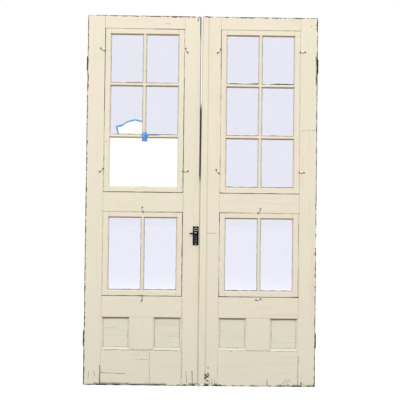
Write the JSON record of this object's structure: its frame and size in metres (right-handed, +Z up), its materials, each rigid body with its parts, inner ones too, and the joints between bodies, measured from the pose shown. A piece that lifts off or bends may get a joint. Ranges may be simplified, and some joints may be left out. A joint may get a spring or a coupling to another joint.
{
  "type": "pair of storm doors",
  "caption": "Pair of worn cream-painted wooden storm doors with divided-light sashes held by turn buttons, panelled feet, butt hinges and a lever latch, some glass lost.",
  "frame": {"origin": "on the floor line, in the middle of the pair's outline", "axes": "+X to the viewer's right along the pair, +Y away from the viewer towards the hinge barrels, +Z up"},
  "size_m": [1.444, 0.0623, 2.286],
  "materials": {
    "cream_paint": "old cream oil paint, worn",
    "panel_paint": "old cream oil paint, grimy, grain showing",
    "window_glass": "clear sheet glass",
    "putty": "dry painted putty",
    "blue_tape": "blue masking tape",
    "painted_iron": "cream paint over rusty steel",
    "black_iron": "black enamel, worn",
    "bright_steel": "dull steel"
  },
  "bodies": {
    "frame_side_hinges": {"frame_hinge_leaves": "painted_iron", "hinge_pins": "bright_steel"},
    "left_leaf": {"left_bottom_rail": "cream_paint", "left_broken_pane": "window_glass", "left_hinge_leaves": "painted_iron", "left_hinge_screws": "bright_steel", "left_hinge_stile": "cream_paint", "left_lock_rail": "cream_paint", "left_lower_sash_bars": "cream_paint", "left_lower_sash_rails": "cream_paint", "left_lower_sash_stiles": "cream_paint", "left_meeting_stile": "cream_paint", "left_middle_rail": "cream_paint", "left_panel_mullion": "cream_paint", "left_panels": "panel_paint", "left_panes": "window_glass", "left_putty": "putty", "left_round_head_screws": "painted_iron", "left_tape": "blue_tape", "left_top_rail": "cream_paint", "left_upper_sash_bars": "cream_paint", "left_upper_sash_rails": "cream_paint", "left_upper_sash_stiles": "cream_paint", "latch_plate": "black_iron", "latch_case": "bright_steel"},
    "right_leaf": {"right_astragal": "cream_paint", "right_bottom_rail": "cream_paint", "right_hinge_leaves": "painted_iron", "right_hinge_screws": "bright_steel", "right_hinge_stile": "cream_paint", "right_lock_rail": "cream_paint", "right_lower_sash_bars": "cream_paint", "right_lower_sash_rails": "cream_paint", "right_lower_sash_stiles": "cream_paint", "right_meeting_stile": "cream_paint", "right_middle_rail": "cream_paint", "right_panel_mullion": "cream_paint", "right_panels": "panel_paint", "right_panes": "window_glass", "right_putty": "putty", "right_round_head_screws": "painted_iron", "right_top_rail": "cream_paint", "right_upper_sash_bars": "cream_paint", "right_upper_sash_rails": "cream_paint", "right_upper_sash_stiles": "cream_paint"},
    "left_button_lower_bottom": {"left_button_lower_bottom": "painted_iron"},
    "left_button_lower_top": {"left_button_lower_top": "painted_iron"},
    "left_button_mid_hinge_side": {"left_button_mid_hinge_side": "painted_iron"},
    "left_button_mid_meeting_side": {"left_button_mid_meeting_side": "painted_iron"},
    "left_button_upper_hinge_side": {"left_button_upper_hinge_side": "painted_iron"},
    "left_button_upper_meeting_side": {"left_button_upper_meeting_side": "painted_iron"},
    "right_button_lower_bottom": {"right_button_lower_bottom": "painted_iron"},
    "right_button_lower_top": {"right_button_lower_top": "painted_iron"},
    "right_button_mid_hinge_side": {"right_button_mid_hinge_side": "painted_iron"},
    "right_button_mid_meeting_side": {"right_button_mid_meeting_side": "painted_iron"},
    "right_button_upper_hinge_side": {"right_button_upper_hinge_side": "painted_iron"},
    "right_button_upper_meeting_side": {"right_button_upper_meeting_side": "painted_iron"},
    "latch_lever": {"latch_lever": "black_iron", "latch_cam": "bright_steel"},
    "latch_bolt": {"latch_bolt": "bright_steel"}
  },
  "joints": [
    {"name": "left_leaf_swing", "type": "hinge", "parent": "frame_side_hinges", "child": "left_leaf", "pos_m": [-0.7165, 0.0258, 0.281], "axis": [0, 0, 1], "range_deg": [0, 170]},
    {"name": "right_leaf_swing", "type": "hinge", "parent": "frame_side_hinges", "child": "right_leaf", "pos_m": [0.7165, 0.0258, 0.281], "axis": [0, 0, -1], "range_deg": [0, 170]},
    {"name": "left_button_upper_hinge_side_turn", "type": "hinge", "parent": "left_leaf", "child": "left_button_upper_hinge_side", "pos_m": [-0.62, -0.0157, 2.071], "axis": [0, -1, 0], "continuous": true},
    {"name": "left_button_upper_meeting_side_turn", "type": "hinge", "parent": "left_leaf", "child": "left_button_upper_meeting_side", "pos_m": [-0.1, -0.0157, 2.071], "axis": [0, -1, 0], "continuous": true},
    {"name": "left_button_mid_hinge_side_turn", "type": "hinge", "parent": "left_leaf", "child": "left_button_mid_hinge_side", "pos_m": [-0.62, -0.0157, 1.322], "axis": [0, -1, 0], "continuous": true},
    {"name": "left_button_mid_meeting_side_turn", "type": "hinge", "parent": "left_leaf", "child": "left_button_mid_meeting_side", "pos_m": [-0.1, -0.0157, 1.322], "axis": [0, -1, 0], "continuous": true},
    {"name": "left_button_lower_top_turn", "type": "hinge", "parent": "left_leaf", "child": "left_button_lower_top", "pos_m": [-0.36, -0.0157, 1.081], "axis": [0, -1, 0], "continuous": true},
    {"name": "left_button_lower_bottom_turn", "type": "hinge", "parent": "left_leaf", "child": "left_button_lower_bottom", "pos_m": [-0.36, -0.0157, 0.535], "axis": [0, -1, 0], "continuous": true},
    {"name": "right_button_upper_hinge_side_turn", "type": "hinge", "parent": "right_leaf", "child": "right_button_upper_hinge_side", "pos_m": [0.62, -0.0157, 2.071], "axis": [0, -1, 0], "continuous": true},
    {"name": "right_button_upper_meeting_side_turn", "type": "hinge", "parent": "right_leaf", "child": "right_button_upper_meeting_side", "pos_m": [0.1, -0.0157, 2.071], "axis": [0, -1, 0], "continuous": true},
    {"name": "right_button_mid_hinge_side_turn", "type": "hinge", "parent": "right_leaf", "child": "right_button_mid_hinge_side", "pos_m": [0.62, -0.0157, 1.322], "axis": [0, -1, 0], "continuous": true},
    {"name": "right_button_mid_meeting_side_turn", "type": "hinge", "parent": "right_leaf", "child": "right_button_mid_meeting_side", "pos_m": [0.1, -0.0157, 1.322], "axis": [0, -1, 0], "continuous": true},
    {"name": "right_button_lower_top_turn", "type": "hinge", "parent": "right_leaf", "child": "right_button_lower_top", "pos_m": [0.36, -0.0157, 1.081], "axis": [0, -1, 0], "continuous": true},
    {"name": "right_button_lower_bottom_turn", "type": "hinge", "parent": "right_leaf", "child": "right_button_lower_bottom", "pos_m": [0.36, -0.0157, 0.535], "axis": [0, -1, 0], "continuous": true},
    {"name": "latch_lever_turn", "type": "hinge", "parent": "left_leaf", "child": "latch_lever", "pos_m": [-0.0315, -0.0153, 0.937], "axis": [0, -1, 0], "range_deg": [0, 60]},
    {"name": "latch_bolt_throw", "type": "slide", "parent": "left_leaf", "child": "latch_bolt", "axis": [1, 0, 0], "range_m": [0, 0.01]}
  ],
  "couplings": [
    {"joint": "latch_bolt_throw", "follows": "latch_lever_turn", "m_per_rad": 0.0095493}
  ]
}
